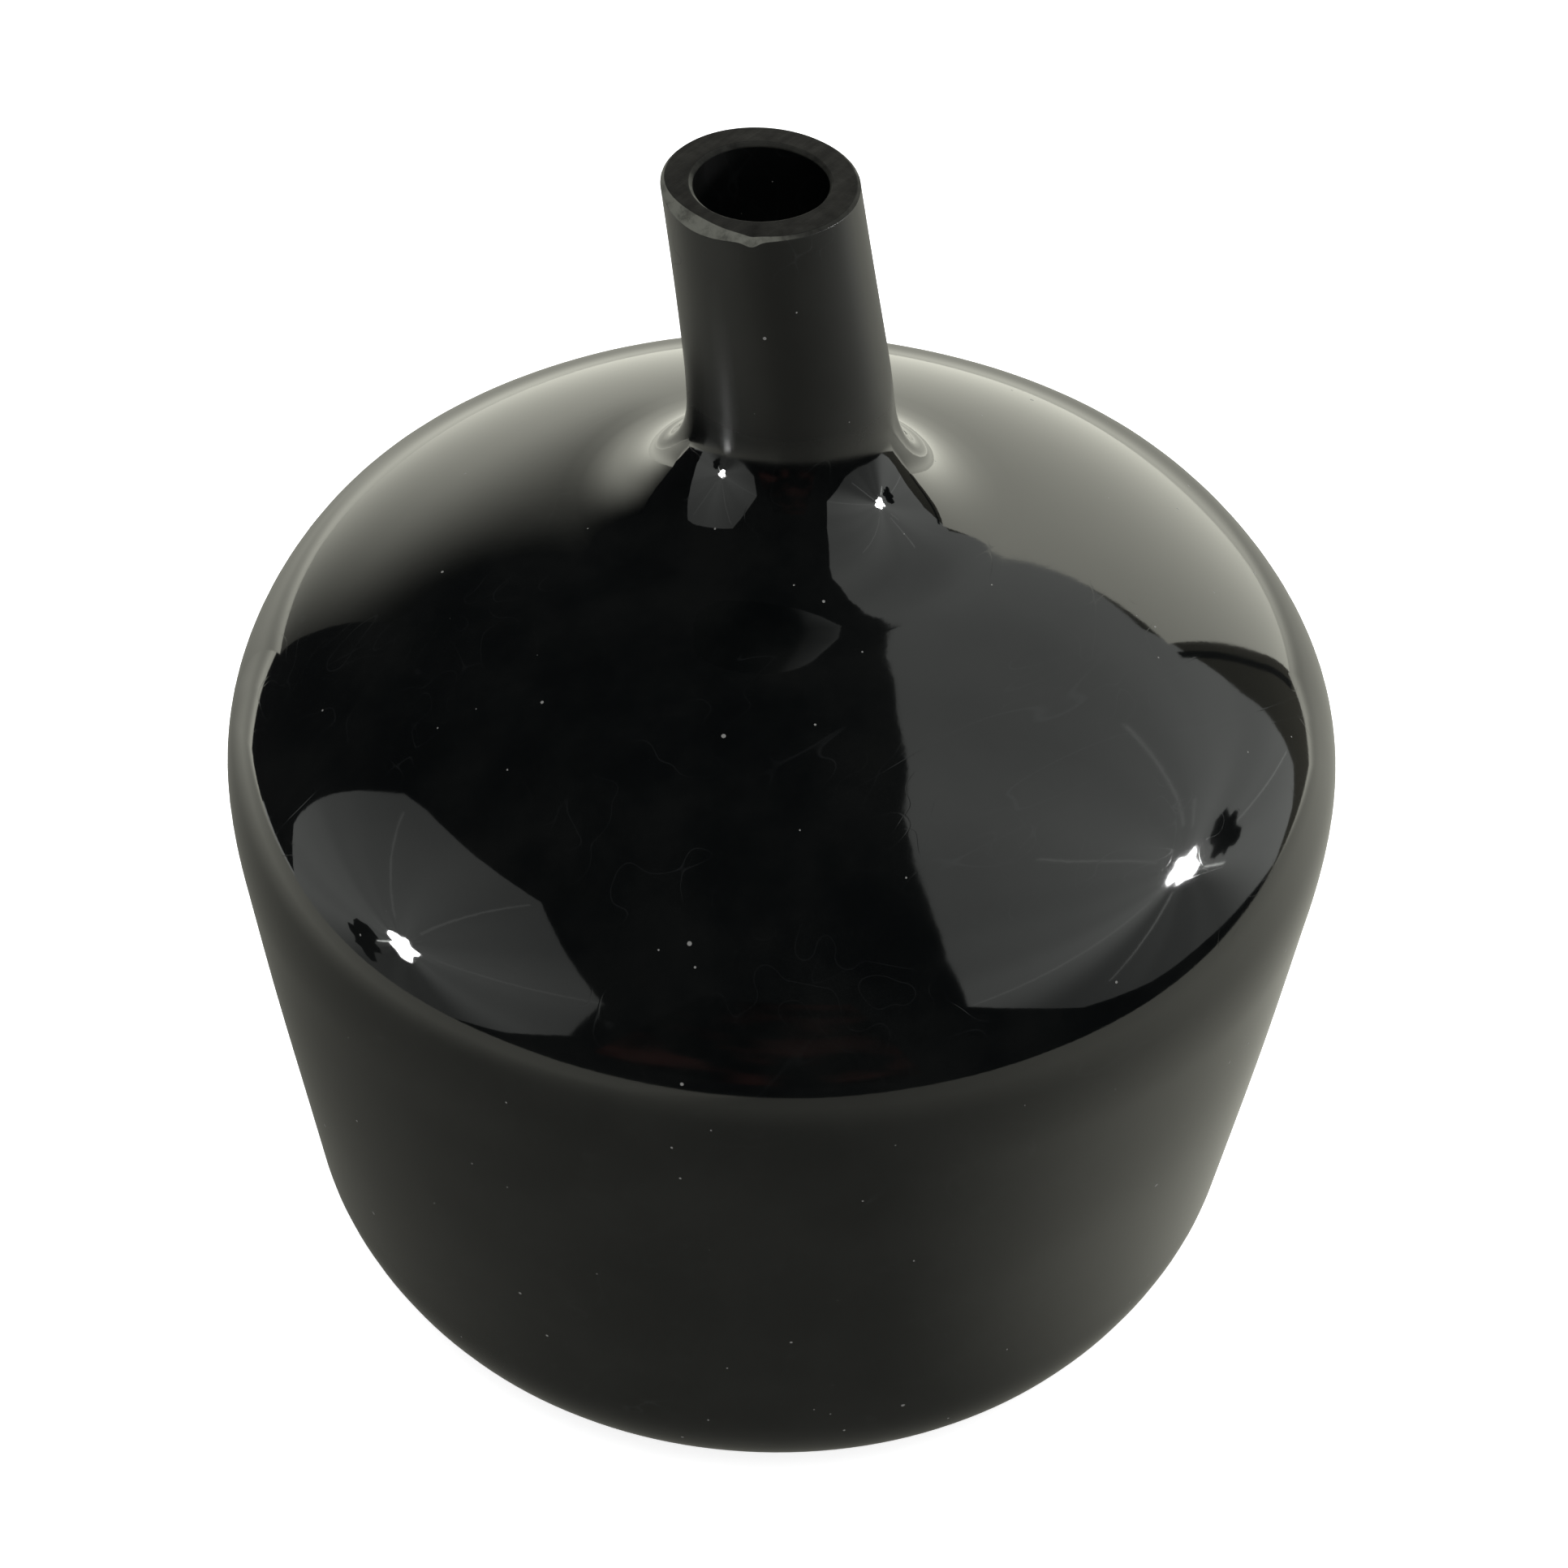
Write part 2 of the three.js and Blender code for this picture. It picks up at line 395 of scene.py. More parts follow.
class Nodes:
    """Short calls for building a node tree."""

    def __init__(self, material):
        material.use_nodes = True
        self.tree = material.node_tree
        self.tree.nodes.clear()

    def add(self, kind, inputs=(), **settings):
        node = self.tree.nodes.new(kind)
        for name, value in settings.items():
            setattr(node, name, value)
        for socket, value in dict(inputs).items():
            self.set(node.inputs[socket], value)
        return node

    def set(self, socket, value):
        if isinstance(value, bpy.types.NodeSocket):
            self.tree.links.new(value, socket)
        else:
            socket.default_value = value

    def math(self, operation, a, b=0.0, clamp=False):
        return self.add("ShaderNodeMath", {0: a, 1: b}, operation=operation, use_clamp=clamp).outputs[0]

    def between(self, value, low, high, to_low=0.0, to_high=1.0):
        """Value from low to high, eased onto to_low to to_high."""
        inputs = {"Value": value, "From Min": low, "From Max": high}
        inputs.update({"To Min": to_low, "To Max": to_high})
        return self.add("ShaderNodeMapRange", inputs, interpolation_type="SMOOTHSTEP").outputs["Result"]

    def mix_color(self, share, a, b):
        node = self.add("ShaderNodeMix", {"Factor": share}, data_type="RGBA")
        self.set(node.inputs[6], a)
        self.set(node.inputs[7], b)
        return node.outputs[2]

    def place(self, rotation=(0, 0, 0), scale=(1, 1, 1)):
        """The object's own coordinates, in metres, turned and then scaled."""
        coordinates = self.add("ShaderNodeTexCoord").outputs["Object"]
        turned = self.add("ShaderNodeMapping", {"Vector": coordinates, "Rotation": rotation})
        scaled = self.add("ShaderNodeMapping", {"Vector": turned.outputs["Vector"], "Scale": scale})
        return scaled.outputs["Vector"]

    def split(self, vector):
        """A node with the X, Y and Z of a vector as outputs."""
        return self.add("ShaderNodeSeparateXYZ", {"Vector": vector})

    def vector_math(self, operation, a, b=(0, 0, 0)):
        node = self.add("ShaderNodeVectorMath", {0: a, 1: b}, operation=operation)
        single = operation in ("LENGTH", "DOT_PRODUCT")
        return node.outputs["Value" if single else "Vector"]

    def flat(self, place):
        """The X and Y of a split vector, with no height."""
        inputs = {"X": place.outputs["X"], "Y": place.outputs["Y"]}
        return self.add("ShaderNodeCombineXYZ", inputs).outputs["Vector"]

    def noise(self, vector, scale, detail=3.0, roughness=0.5):
        inputs = {"Vector": vector, "Scale": scale, "Detail": detail, "Roughness": roughness}
        return self.add("ShaderNodeTexNoise", inputs).outputs["Fac"]


def dust(nodes, scale, size, share):
    """Specks: a round dot in some cells of a scattered pattern, each of its own size."""
    cells = nodes.add("ShaderNodeTexVoronoi", {"Vector": nodes.place(), "Scale": scale})
    pick = nodes.add("ShaderNodeSeparateColor", {"Color": cells.outputs["Color"]})
    chosen = nodes.math("LESS_THAN", pick.outputs[0], share)
    reach = nodes.math("MULTIPLY_ADD", pick.outputs[1], size)
    reach.node.inputs[2].default_value = size * SMALLEST_SPECK
    return nodes.math("MULTIPLY", nodes.math("LESS_THAN", cells.outputs["Distance"], reach), chosen)


def hairlines(nodes, turns, across, along, width):
    """Fine scratches: thin ridges of a stretched noise, one direction for each turn, broken up in
    patches."""
    total = None
    for i, turn in enumerate(turns):
        line = nodes.noise(nodes.place(turn, (across, along, across)), 1.0, detail=0.0)
        off = nodes.math("ABSOLUTE", nodes.math("SUBTRACT", line, 0.5))
        thin = nodes.between(off, 0.0, width, 1.0, 0.0)
        patches = nodes.noise(nodes.place(turn, (90, 40, 90)), 1.0 + 0.3 * i, detail=2.0)
        broken = nodes.math("MULTIPLY", thin, nodes.between(patches, 0.55, 0.66))
        total = broken if total is None else nodes.math("MAXIMUM", total, broken)
    return total


def vinyl_material():
    """Glossy black soft vinyl: nearly a mirror, with finger smudges, hairline scratches and a little
    dust. The nozzle is satin."""
    material = bpy.data.materials.new("black_vinyl")
    nodes = Nodes(material)
    mottle = nodes.noise(nodes.place(), 160.0, detail=5.0, roughness=0.6)
    smudge = nodes.noise(nodes.place((0.4, 0.9, 0.2), (75, 75, 45)), 1.0, detail=6.0, roughness=0.62)
    grain = nodes.noise(nodes.place(), 2600.0, detail=2.0)
    ripple = nodes.noise(nodes.place(), 210.0, detail=1.0)
    scratches = hairlines(nodes, SCRATCH_TURNS, across=700.0, along=25.0, width=0.008)
    coarse_dust = dust(nodes, scale=830.0, size=0.055, share=0.3)
    fine_dust = dust(nodes, scale=1300.0, size=0.05, share=0.1)
    specks = nodes.math("MAXIMUM", coarse_dust, fine_dust)

    plain = nodes.mix_color(nodes.between(mottle, 0.35, 0.7), CLEAN_COLOR, CLOUDY_COLOR)
    worn = nodes.mix_color(nodes.math("MULTIPLY", scratches, SCRATCH_TINT), plain, SCRATCH_COLOR)
    color = nodes.mix_color(specks, worn, DUST_COLOR)

    sheen = nodes.between(smudge, 0.35, 0.75, *GLOSS_ROUGHNESS)
    sheen = nodes.math("ADD", sheen, nodes.math("MULTIPLY", scratches, SCRATCH_ROUGHNESS))
    height = nodes.split(nodes.place()).outputs["Z"]
    sheen = nodes.math("ADD", sheen, nodes.between(height, SATIN_FROM, SATIN_TO, 0.0, SATIN))
    dusty = nodes.math("MULTIPLY", specks, DUST_ROUGHNESS)
    roughness = nodes.math("ADD", sheen, dusty, clamp=True)

    relief = nodes.math("MULTIPLY", grain, GRAIN_RELIEF)
    relief = nodes.math("ADD", relief, nodes.math("MULTIPLY", ripple, RIPPLE_RELIEF))
    relief = nodes.math("SUBTRACT", relief, nodes.math("MULTIPLY", scratches, SCRATCH_RELIEF))
    bump = nodes.add("ShaderNodeBump", {"Height": relief, "Strength": 0.6, "Distance": 0.00004})
    surface = nodes.add(
        "ShaderNodeBsdfPrincipled",
        {
            "Base Color": color,
            "Roughness": roughness,
            "IOR": VINYL_IOR,
            "Normal": bump.outputs["Normal"],
        },
    )
    nodes.add("ShaderNodeOutputMaterial", {"Surface": surface.outputs["BSDF"]})
    return material


def facet_highlight_share(nodes, blotch):
    """How much painted highlight the cut face gets: on the tilted facet that the knife scraped, most on
    the side that the facet faces.
    """
    facing = nodes.add("ShaderNodeTexCoord").outputs["Normal"]
    tilted = nodes.between(nodes.split(facing).outputs["Z"], 0.97, 0.86)
    middle = (LEAN_X * NOZZLE_HEIGHT, 0, 0)
    away = nodes.vector_math("SUBTRACT", nodes.place(), middle)
    facet_side = (math.cos(FACET_ANGLE), math.sin(FACET_ANGLE), 0)
    side = nodes.vector_math("DOT_PRODUCT", away, facet_side)
    highlighted = nodes.math("MULTIPLY", tilted, nodes.between(side, 0.0012, 0.003, 0.12, 1.0))
    return nodes.math("MULTIPLY", highlighted, nodes.between(blotch, 0.25, 0.6, 0.35, 1.0))


def cut_material():
    """The same vinyl where a knife went through it: duller, greyer and faintly streaked by the blade.
    On the facet that the knife scraped off the edge it is paler: a painted highlight."""
    material = bpy.data.materials.new("cut_vinyl")
    nodes = Nodes(material)
    streaks = nodes.noise(nodes.place((0, 0, 0.6), (2600, 320, 2600)), 1.0, detail=3.0)
    blotch = nodes.noise(nodes.place(), 1500.0, detail=4.0, roughness=0.65)
    plain = nodes.mix_color(nodes.between(blotch, 0.3, 0.72), CUT_COLOR, CUT_BLOTCH_COLOR)
    # paints a highlight on the scraped facet
    color = nodes.mix_color(facet_highlight_share(nodes, blotch), plain, FACET_HIGHLIGHT_COLOR)
    roughness = nodes.between(streaks, 0.25, 0.75, *CUT_ROUGHNESS)
    relief = nodes.math("MULTIPLY", streaks, 0.6)
    relief = nodes.math("ADD", relief, nodes.math("MULTIPLY", blotch, 0.4))
    bump = nodes.add("ShaderNodeBump", {"Height": relief, "Strength": 0.5, "Distance": 0.00006})
    surface = nodes.add(
        "ShaderNodeBsdfPrincipled",
        {
            "Base Color": color,
            "Roughness": roughness,
            "IOR": VINYL_IOR,
            "Specular IOR Level": CUT_SPECULAR,
            "Normal": bump.outputs["Normal"],
        },
    )
    nodes.add("ShaderNodeOutputMaterial", {"Surface": surface.outputs["BSDF"]})
    return material


# ---- Studio -----------------------------------------------------------------

LOOK_HEIGHT = 0.035  # of the point from which directions to the cards are given
CARD_GLOW_COLOR = (0.97, 1.0, 0.96, 1)
PAPER_GLOW_COLOR = (1.0, 1.0, 0.87, 1)
WALL_GLOW_COLOR = (1.0, 0.97, 0.78, 1)
ROOM_GLOW_COLOR = (1.0, 0.36, 0.3, 1)
CORE_GLOW_COLOR = (1, 1, 1, 1)

TABLE_LEVEL = -0.0002
TABLE_CENTRE = (0.011, 0.012)  # X and Y of the circle that its edge seems to follow
TABLE_REACH = 0.112  # radius of that circle, as the bulb's widest edge sees it
TABLE_FLAT = 0.06  # radius within which the table is level
TABLE_END = 0.6  # radius at which the falling part ends
TABLE_STEP = 4  # degrees
WIDEST_SEEN = (0.024, 0.031)  # radius and height from which it is seen
TABLE_OPENING = 132  # degrees either side of the front, over which the table falls away
TABLE_BLEND = 7  # degrees over which it comes back up to level
TABLE_EDGE_TURNS = range(-115, -73, 3)  # degrees over which its edge is bright
TABLE_EDGE_WIDTH = 0.025  # as a share of the reach
TABLE_EDGE_GLOW = 1.1

BACKDROP_DISTANCE = 0.30
BACKDROP_TOP = 0.284
BACKDROP_LEFT, BACKDROP_RIGHT = -0.37, 0.333
STAND_FROM, STAND_TO = 1.06, 1.11  # the backdrop's stand, as shares of BACKDROP_RIGHT
STAND_GLOW = 0.03
WALL_DISTANCE = 0.9
WALL_GLOW = 0.17
WALL_CORNERS = [(-24, 104), (-24, 150), (44, 150), (44, 104)]  # elevation and azimuth, as below
ROOM_DISTANCE = 0.7
ROOM_CORNERS = [(-14, -32), (-14, 26), (22, 14), (22, -14)]

LIGHT_DISTANCE = 0.6
RIB_START = 0.2  # where a rib starts on its way out from the core
RIB_PLACE, HEAD_PLACE, POLE_PLACE = 0.95, 0.88, 0.86  # nearer than the cloth: shares of LIGHT_DISTANCE
RIB_LIFT, CORE_LIFT = 0.03, 0.05  # off the cloth, towards the bulb
RIB_WIDTHS = (0.003, 0.0012)  # half widths at start and end
POLE_WIDTHS = (0.002, 0.001)
HEAD_SIZE = 1.2  # as a multiple of the core's
RIB_GLOW = 1.6  # as a multiple of the cloth's
CORE_GLOW = 90.0
HEAD_GLOW = 0.03
POLE_GLOW = 9.0
CLOTH_LEAST = 0.05
BLOB_POINTS = 20
CORE_SEED, HEAD_SEED = 5, 9

FLOOR_REACH = 20.0
FLOOR_COLOR = (0.8, 0.8, 0.8, 1)
FLOOR_GLOW = 0.8
WORLD_LIGHT, WORLD_SEEN, WORLD_IN_GLOSS = 0.36, 1.0, 0.018
WHITE = (1, 1, 1, 1)

# Corners of the two soft lights as the bulb sees them: degrees of elevation and azimuth
RIGHT_LIGHT = [
    (12, 35), (33, 35), (51, 40), (65, 50), (72, 67), (74, 101), (70, 140), (64, 154), (58, 163),
    (51, 168), (44, 166), (36, 162), (36, 154), (34, 144), (32, 136), (26, 130), (17, 124), (3, 120),
    (-8, 118), (-13, 114), (-16, 106), (-14, 97), (-12, 84), (-11, 71), (-6, 56), (2, 47),
]
RIGHT_RIBS = [(54, 150), (41, 139), (60, 65), (12, 36), (-1, 62), (-3, 118)]
LEFT_LIGHT = [
    (-10, -103), (31, -93), (34, -88), (37, -52), (8, -31), (-10, -36), (-19, -48), (-24, -64),
    (-24, -101),
]
LEFT_RIBS = [(28, -89), (34, -53), (8, -31)]


def toward(elevation, azimuth, distance):
    """A point seen from the bulb's shoulder. Azimuth 0 is towards -Y, and grows towards +X."""
    e = math.radians(elevation)
    a = math.radians(azimuth)
    direction = Vector((math.sin(a) * math.cos(e), -math.cos(a) * math.cos(e), math.sin(e)))
    return Vector((0, 0, LOOK_HEIGHT)) + direction * distance


def emission(name, build, color=CARD_GLOW_COLOR):
    """A material that glows with the strength that build(nodes) gives."""
    material = bpy.data.materials.new(name)
    nodes = Nodes(material)
    glow = nodes.add("ShaderNodeEmission", {"Color": color, "Strength": build(nodes)})
    nodes.add("ShaderNodeOutputMaterial", {"Surface": glow.outputs["Emission"]})
    return material


def card(name, vertices, faces, material, place=None):
    """A card of the studio, which shows only as a reflection in the gloss. With a place, its own
    coordinates start there, with Z towards the bulb."""
    place = place or Matrix.Identity(4)
    local = place.inverted()
    mesh = bpy.data.meshes.new(name)
    mesh.from_pydata([tuple(local @ v) for v in vertices], [], faces)
    mesh.materials.append(material)
    obj = bpy.data.objects.new(name, mesh)
    obj.matrix_world = place
    bpy.context.scene.collection.objects.link(obj)
    obj.visible_camera = False
    obj.visible_diffuse = False
    obj.visible_transmission = False
    obj.visible_volume_scatter = False
    obj.visible_shadow = False
    return obj


def table_point(azimuth, reach, height):
    a = math.radians(azimuth)
    return Vector((math.sin(a) * reach, -math.cos(a) * reach, height))


def table_end_point(azimuth, widening=1.0):
    """The table's far end, on the line from the bulb's widest edge through the edge that the table
    seems to have."""
    a = math.radians(azimuth)
    offset = TABLE_CENTRE[0] * math.sin(a) - TABLE_CENTRE[1] * math.cos(a)
    radius, height = WIDEST_SEEN
    fall = height / (TABLE_REACH * widening + offset - radius)
    fallen = height - fall * (TABLE_END - radius)
    share = min(1, (TABLE_OPENING - abs(azimuth)) / TABLE_BLEND)
    return table_point(azimuth, TABLE_END, fallen * share)


def table_glow(nodes):
    """Shaded by the bulb nearby, brighter far out and to the right, and brightest behind."""
    place = nodes.split(nodes.place())
    reach = nodes.vector_math("LENGTH", nodes.flat(place))
    shade = nodes.between(reach, 0.022, 0.09, 0.145, 0.3)
    sideways = nodes.math("DIVIDE", place.outputs["X"], nodes.math("MAXIMUM", reach, 0.03))
    right = nodes.between(sideways, 0.25, 1.0, 0.0, 0.3)
    leftward = nodes.between(place.outputs["X"], -0.02, -0.08, 0.15, 0.4)
    far = nodes.math("MULTIPLY", nodes.between(reach, 0.05, 0.14), leftward)
    behind = nodes.between(place.outputs["Y"], 0.11, 0.24, 0.0, 0.8)
    return nodes.math("ADD", nodes.math("ADD", shade, right), nodes.math("ADD", behind, far))


def strip_faces(count):
    """Faces between two rows of count vertices."""
    return [[i, i + 1, count + i + 1, count + i] for i in range(count - 1)]


def table_card():
    """The pale sheet that the bulb stands on. In front and at the sides it falls away to a far end, and
    behind it runs level to the backdrop. Its edge is bright on the left."""
    turns = range(-TABLE_OPENING, TABLE_OPENING + 1, TABLE_STEP)
    count = len(turns)
    vertices = [table_point(a, TABLE_FLAT, TABLE_LEVEL) for a in turns]
    vertices += [table_end_point(a) for a in turns]
    for x in (BACKDROP_RIGHT, BACKDROP_LEFT):
        vertices.append(Vector((x, BACKDROP_DISTANCE, TABLE_LEVEL)))
    level_face = list(range(count)) + [2 * count, 2 * count + 1]
    glow = emission("table_glow", table_glow, PAPER_GLOW_COLOR)
    card("table_card", vertices, strip_faces(count) + [level_face], glow)

    strip = [table_end_point(a) for a in TABLE_EDGE_TURNS]
    strip += [table_end_point(a, 1 + TABLE_EDGE_WIDTH) for a in TABLE_EDGE_TURNS]
    edge_glow = emission("table_edge_glow", lambda nodes: TABLE_EDGE_GLOW)
    card("table_edge_card", strip, strip_faces(len(TABLE_EDGE_TURNS)), edge_glow)


def backdrop_glow(nodes):
    """Brightest in the middle and to the right, and fading out at its top."""
    place = nodes.split(nodes.place())
    across = nodes.between(place.outputs["X"], -0.42, 0.0, 0.1, 2.2)
    lift = nodes.between(place.outputs["X"], -0.06, 0.05, 0.0, 0.3)
    raised = nodes.math("SUBTRACT", place.outputs["Z"], lift)
    return nodes.math("MULTIPLY", across, nodes.between(raised, 0.12, 0.285, 1.0, 0.02))


def backdrop_card():
    """The white backdrop behind, with its dark stand and a dim wall beside it."""

    def panel(left, right):
        y = BACKDROP_DISTANCE
        top = BACKDROP_TOP
        return [Vector(p) for p in ((left, y, 0), (right, y, 0), (right, y, top), (left, y, top))]

    sheet = panel(BACKDROP_LEFT, BACKDROP_RIGHT)
    lit = emission("backdrop_glow", backdrop_glow, PAPER_GLOW_COLOR)
    card("backdrop_card", sheet, [[0, 1, 2, 3]], lit)
    wall = [toward(*corner, WALL_DISTANCE) for corner in WALL_CORNERS]
    dim = emission("wall_glow", lambda nodes: WALL_GLOW, WALL_GLOW_COLOR)
    card("dim_wall_card", wall, [[0, 1, 2, 3]], dim)
    stand = panel(BACKDROP_RIGHT * STAND_FROM, BACKDROP_RIGHT * STAND_TO)
    card("stand_card", stand, [[0, 1, 2, 3]], emission("stand_glow", lambda nodes: STAND_GLOW))


def dim_room_card():
    """The unlit room in front, with a little warm clutter."""
    corners = [toward(*corner, ROOM_DISTANCE) for corner in ROOM_CORNERS]

    def build(nodes):
        clutter = nodes.noise(nodes.place(scale=(5, 5, 9)), 1.0, detail=2.0)
        low = nodes.between(nodes.split(nodes.place()).outputs["Z"], -0.15, 0.15, 0.16, 0.06)
        return nodes.math("MULTIPLY", nodes.between(clutter, 0.45, 0.7), low)

    card("dim_room_card", corners, [[0, 1, 2, 3]], emission("dim_room_glow", build, ROOM_GLOW_COLOR))


def light_cloth(nodes, glow, dim_turn):
    """White cloth lit from the hot core at its middle: folds fan out from the core, a flare surrounds
    it, and one side is dim."""
    flat = nodes.flat(nodes.split(nodes.place()))
    reach = nodes.vector_math("LENGTH", flat)
    turn = nodes.vector_math("NORMALIZE", flat)
    folds = nodes.between(nodes.noise(turn, 1.7, detail=1.0), 0.3, 0.7, 0.88, 1.1)
    hairs = nodes.between(nodes.noise(turn, 26.0, detail=3.0, roughness=0.7), 0.42, 0.7, -0.15, 0.9)
    near = nodes.between(reach, 0.0, 0.75 * LIGHT_DISTANCE, 1.35, 0.85)
    side = nodes.vector_math("DOT_PRODUCT", turn, (math.cos(dim_turn), math.sin(dim_turn), 0))
    dim = nodes.between(side, 0.4, 0.85, 1.0, 0.38)
    cloth = nodes.math("MULTIPLY", nodes.math("MULTIPLY", near, dim), folds)
    halo = nodes.between(reach, 0.02 * LIGHT_DISTANCE, 0.17 * LIGHT_DISTANCE, 1.0, 0.0)
    both = nodes.math("ADD", cloth, nodes.math("MULTIPLY", halo, hairs))
    return nodes.math("MAXIMUM", nodes.math("MULTIPLY", both, glow), CLOTH_LEAST)


def soft_light(name, outline, ribs, core, core_size, glow, dim_turn, head, pole):
    """A white umbrella light: cloth out to the outline's corners, bright creases along the ribs, a hot
    core, the dark head of the lamp beside it and a glint on its pole."""
    middle = toward(*core, LIGHT_DISTANCE)
    facing = (Vector((0, 0, LOOK_HEIGHT)) - middle).normalized()
    across = Vector((0, 0, 1)).cross(facing).normalized()
    up = facing.cross(across)
    place = Matrix.Translation(middle) @ Matrix((across, up, facing)).transposed().to_4x4()

    def blob(centre, size, seed):
        random = np.random.default_rng(seed)
        reaches = size * random.uniform(0.65, 1.25, BLOB_POINTS)
        turns = np.arange(BLOB_POINTS) * 2 * math.pi / BLOB_POINTS
        return [centre + (across * math.cos(t) + up * math.sin(t)) * r for t, r in zip(turns, reaches)]

    def strip(start, end, widths):
        side = (end - start).cross(facing).normalized()
        at_start = side * widths[0]
        at_end = side * widths[1]
        return [start - at_start, start + at_start, end + at_end, end - at_end]

    cloth = [middle] + [toward(*corner, LIGHT_DISTANCE) for corner in outline]
    faces = [[0, 1 + i, 1 + (i + 1) % len(outline)] for i in range(len(outline))]
    glow_cloth = emission(name + "_cloth_glow", lambda nodes: light_cloth(nodes, glow, dim_turn))
    card(name + "_cloth", cloth, faces, glow_cloth, place)
    crease = emission(name + "_rib_glow", lambda nodes: glow * RIB_GLOW)
    for i, rib in enumerate(ribs):
        end = toward(*rib, LIGHT_DISTANCE * RIB_PLACE)
        start = middle.lerp(end, RIB_START) + facing * RIB_LIFT
        card(f"{name}_rib_{i}", strip(start, end, RIB_WIDTHS), [[0, 1, 2, 3]], crease)
    ring = list(range(BLOB_POINTS))
    hot = emission(name + "_core_glow", lambda nodes: CORE_GLOW, CORE_GLOW_COLOR)
    card(name + "_core", blob(middle + facing * CORE_LIFT, core_size, CORE_SEED), [ring], hot)
    dark = emission(name + "_head_glow", lambda nodes: HEAD_GLOW)
    head_middle = toward(*head, LIGHT_DISTANCE * HEAD_PLACE)
    card(name + "_head", blob(head_middle, core_size * HEAD_SIZE, HEAD_SEED), [ring], dark)
    start, end = (toward(*direction, LIGHT_DISTANCE * POLE_PLACE) for direction in pole)
    glint = emission(name + "_pole_glow", lambda nodes: POLE_GLOW)
    card(name + "_pole", strip(start, end, POLE_WIDTHS), [[0, 1, 2, 3]], glint)


def floor():
    """A plain pale floor. The gloss reflects the cards instead of it."""
    reach = FLOOR_REACH
    mesh = bpy.data.meshes.new("floor")
    corners = [(-reach, -reach, 0), (reach, -reach, 0), (reach, reach, 0), (-reach, reach, 0)]
    mesh.from_pydata(corners, [], [[0, 1, 2, 3]])
    material = bpy.data.materials.new("floor_paper")
    nodes = Nodes(material)
    paper = nodes.add("ShaderNodeBsdfDiffuse", {"Color": FLOOR_COLOR})
    glow = nodes.add("ShaderNodeEmission", {"Color": WHITE, "Strength": FLOOR_GLOW})
    both = nodes.add("ShaderNodeAddShader", {0: paper.outputs[0], 1: glow.outputs[0]})
    nodes.add("ShaderNodeOutputMaterial", {"Surface": both.outputs[0]})
    mesh.materials.append(material)
    obj = bpy.data.objects.new("floor", mesh)
    bpy.context.scene.collection.objects.link(obj)
    obj.visible_glossy = False


def area_light(name, elevation, azimuth, distance, size, energy):
    """A soft lamp that lights the scene and doesn't show in the gloss."""
    data = bpy.data.lights.new(name, "AREA")
    data.shape = "DISK"
    data.size = size
    data.energy = energy
    lamp = bpy.data.objects.new(name, data)
    lamp.location = toward(elevation, azimuth, distance)
    lamp.rotation_euler = (Vector((0, 0, 0)) - lamp.location).to_track_quat("-Z", "Y").to_euler()
    lamp.visible_glossy = False
    bpy.context.scene.collection.objects.link(lamp)


def world():
    """White where it is seen, soft grey as light, and a dark room in the gloss."""
    made = bpy.data.worlds.new("studio")
    made.use_nodes = True
    tree = made.node_tree
    tree.nodes.clear()
    path = tree.nodes.new("ShaderNodeLightPath")
    backgrounds = []
    for strength in (WORLD_LIGHT, WORLD_SEEN, WORLD_IN_GLOSS):
        background = tree.nodes.new("ShaderNodeBackground")
        background.inputs["Color"].default_value = WHITE
        background.inputs["Strength"].default_value = strength
        backgrounds.append(background)
    to_camera = tree.nodes.new("ShaderNodeMixShader")
    tree.links.new(path.outputs["Is Camera Ray"], to_camera.inputs[0])
    tree.links.new(backgrounds[0].outputs[0], to_camera.inputs[1])
    tree.links.new(backgrounds[1].outputs[0], to_camera.inputs[2])
    to_gloss = tree.nodes.new("ShaderNodeMixShader")
    tree.links.new(path.outputs["Is Glossy Ray"], to_gloss.inputs[0])
    tree.links.new(to_camera.outputs[0], to_gloss.inputs[1])
    tree.links.new(backgrounds[2].outputs[0], to_gloss.inputs[2])
    output = tree.nodes.new("ShaderNodeOutputWorld")
    tree.links.new(to_gloss.outputs[0], output.inputs["Surface"])
    bpy.context.scene.world = made


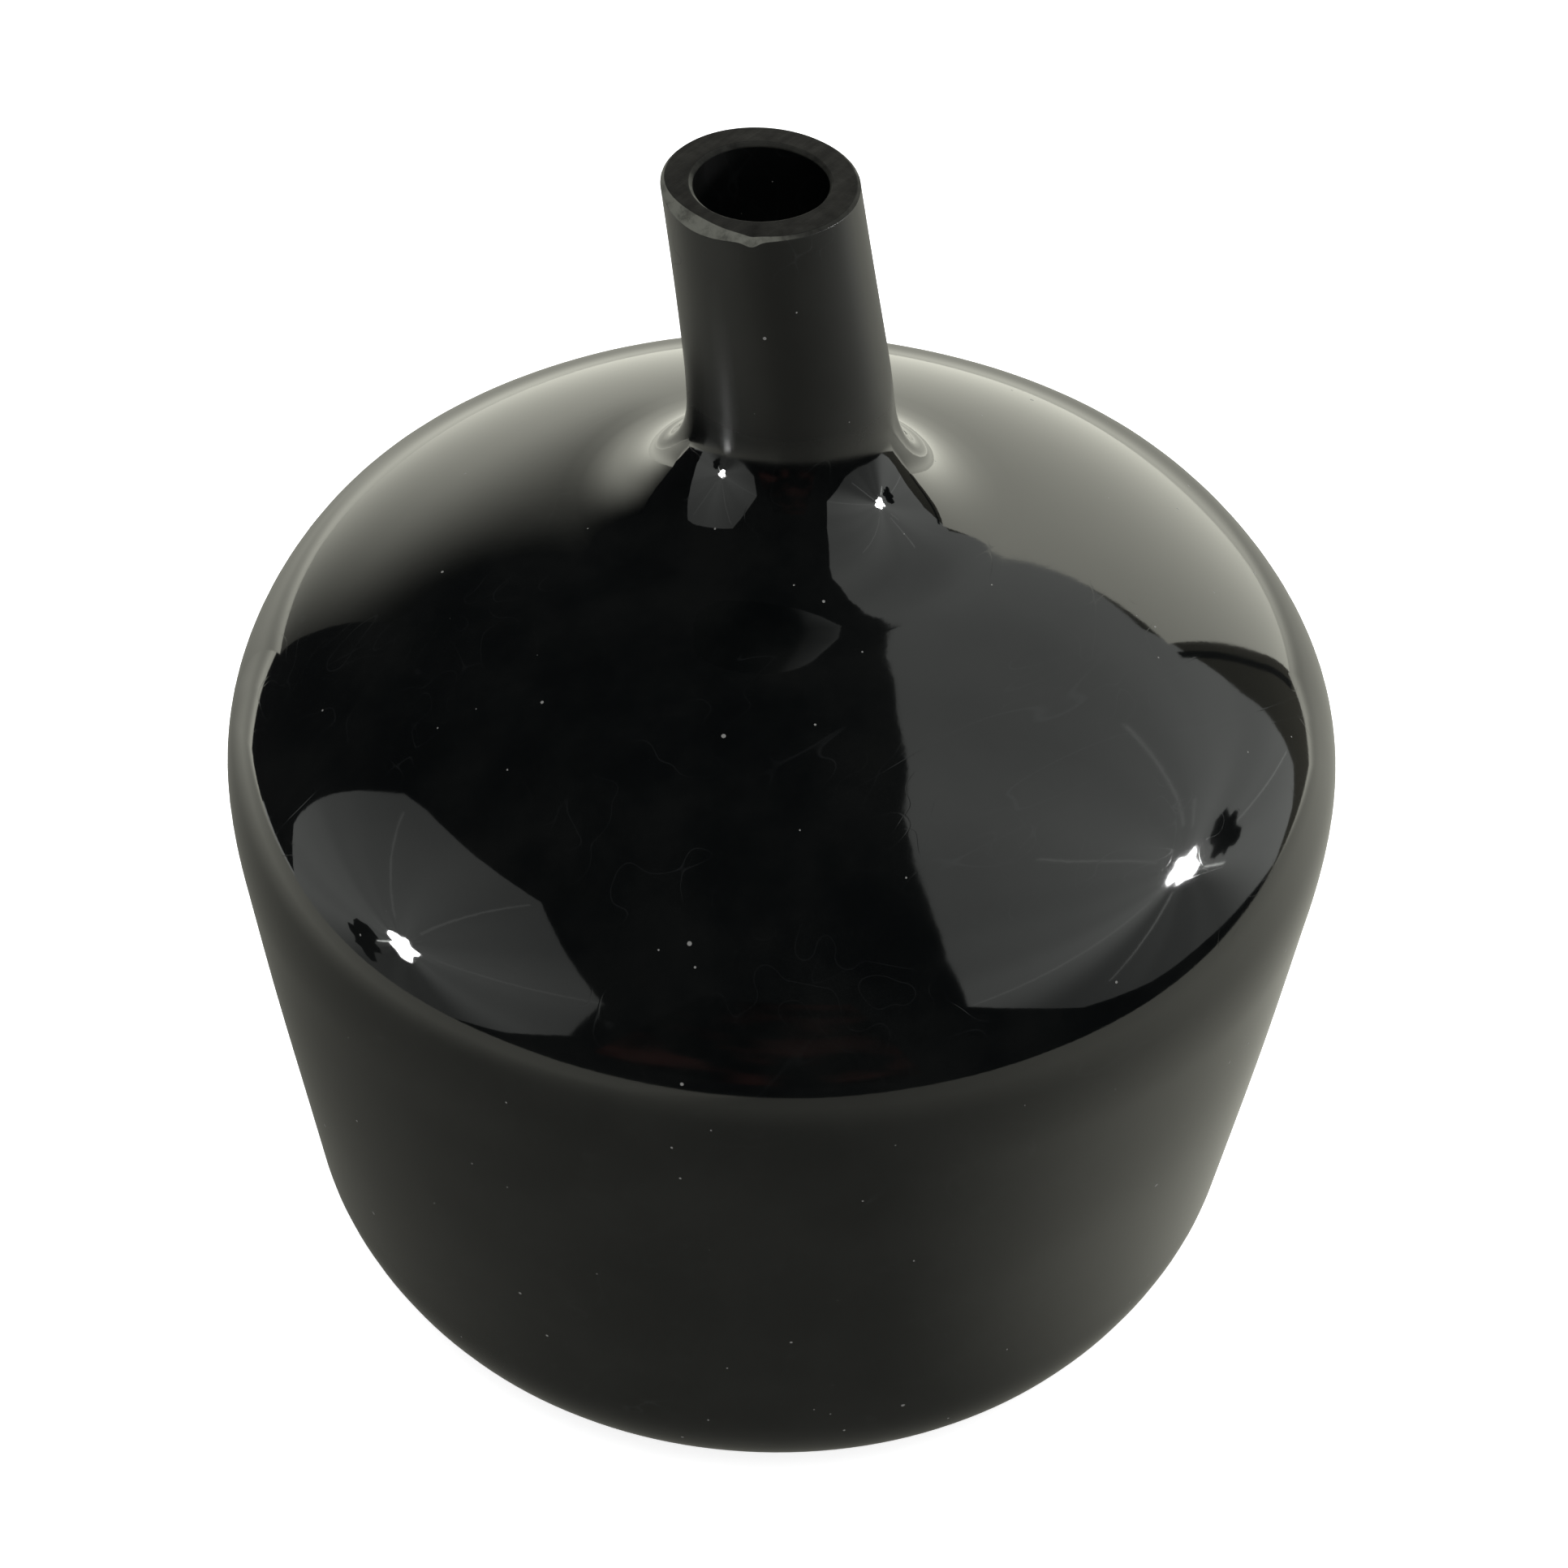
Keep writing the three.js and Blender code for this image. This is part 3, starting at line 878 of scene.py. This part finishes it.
def studio():
    floor()
    world()
    table_card()
    backdrop_card()
    dim_room_card()
    soft_light(
        "right_light",
        RIGHT_LIGHT,
        RIGHT_RIBS,
        core=(15, 86),
        core_size=0.038,
        glow=1.15,
        dim_turn=math.radians(-60),
        head=(9, 97),
        pole=[(9, 89), (3, 93)],
    )
    soft_light(
        "left_light",
        LEFT_LIGHT,
        LEFT_RIBS,
        core=(-7, -70),
        core_size=0.034,
        glow=0.7,
        dim_turn=math.radians(-90),
        head=(-15, -79),
        pole=[(-9, -73), (-12, -76)],
    )
    area_light("overhead_lamp", elevation=75, azimuth=20, distance=0.9, size=0.9, energy=9.0)
    area_light("back_lamp", elevation=40, azimuth=165, distance=0.9, size=0.7, energy=4.0)


# ---- Camera -----------------------------------------------------------------

SENSOR = 36.0
FOCAL_LENGTH = 66.559
CAMERA_CLIP = 0.005
CAMERA_TARGET = Vector((0.00015, 0, 0.02525))
CAMERA_DISTANCE = 0.1341
CAMERA_ELEVATION = math.radians(40.44)
CAMERA_ROLL = math.radians(1.81)


def camera():
    data = bpy.data.cameras.new("camera")
    data.sensor_width = SENSOR
    data.lens = FOCAL_LENGTH
    data.clip_start = CAMERA_CLIP
    back = Vector((0, -math.cos(CAMERA_ELEVATION), math.sin(CAMERA_ELEVATION)))
    up = Vector((0, math.sin(CAMERA_ELEVATION), math.cos(CAMERA_ELEVATION)))
    right = Vector((1, 0, 0))
    level = Matrix((right, up, back)).transposed()
    obj = bpy.data.objects.new("camera", data)
    turned = level @ Matrix.Rotation(CAMERA_ROLL, 3, "Z")
    obj.matrix_world = Matrix.Translation(CAMERA_TARGET + back * CAMERA_DISTANCE) @ turned.to_4x4()
    bpy.context.scene.collection.objects.link(obj)
    bpy.context.scene.camera = obj


# ---- Assembly ---------------------------------------------------------------


def attach(pieces):
    """Rigid zones ride on their bodies; the zones that give stay where they are, with their transforms
    baked.
    """
    for name in ("base_panel", "heel"):
        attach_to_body(pieces[name], "bulb_base")
    for name in ("wide_edge", "shoulder"):
        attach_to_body(pieces[name], "bulb_top")
    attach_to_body(pieces["nozzle_tip"], "nozzle")

    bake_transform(pieces["side_wall"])

    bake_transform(pieces["nozzle_root"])

    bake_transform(pieces["nozzle_neck"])


attach(make_skin([vinyl_material(), cut_material()]))
studio()
camera()
bpy.context.scene.view_settings.view_transform = "Standard"
